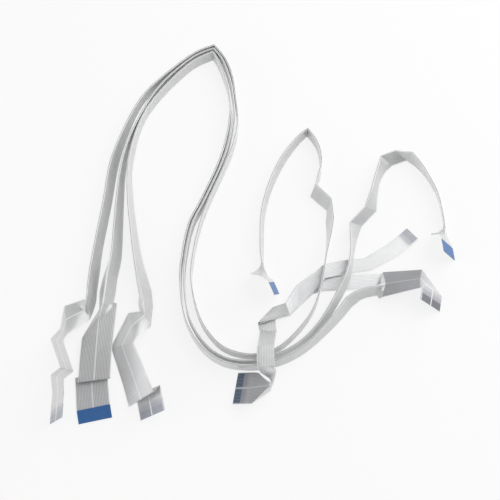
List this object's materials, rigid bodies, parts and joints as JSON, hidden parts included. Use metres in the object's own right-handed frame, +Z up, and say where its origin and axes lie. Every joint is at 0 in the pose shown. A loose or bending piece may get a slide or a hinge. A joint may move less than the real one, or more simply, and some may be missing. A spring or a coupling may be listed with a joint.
{
  "type": "folded flat flexible cable set",
  "caption": "Set of flat flexible printhead cables, folded along the middle, curved and bent to a machine's route, with stiffened bare contact ends.",
  "frame": {"origin": "middle of the bounding box, on the surface that the cables lie on", "axes": "+X to the right and +Y away from the viewer across the lying cables, +Z up"},
  "size_m": [0.2764, 0.287, 0.0238],
  "materials": {
    "ribbon": "satin film with fine stripes",
    "stiffener": "satin blue tape",
    "contacts": "dull tinned metal"
  },
  "bodies": {
    "root": {"ribbon_1": "ribbon", "ribbon_2": "ribbon", "ribbon_3": "ribbon", "ribbon_4": "ribbon", "stiffener_1a": "stiffener", "stiffener_1b": "stiffener", "stiffener_2a": "stiffener", "stiffener_2b": "stiffener", "stiffener_3a": "stiffener", "stiffener_3b": "stiffener", "stiffener_4a": "stiffener", "stiffener_4b": "stiffener", "stiffener_4c": "stiffener", "contacts_1a": "contacts", "contacts_1b": "contacts", "contacts_2a": "contacts", "contacts_2b": "contacts", "contacts_3a": "contacts", "contacts_3b": "contacts", "contacts_4a": "contacts", "contacts_4b": "contacts", "contacts_4c": "contacts"}
  },
  "joints": []
}
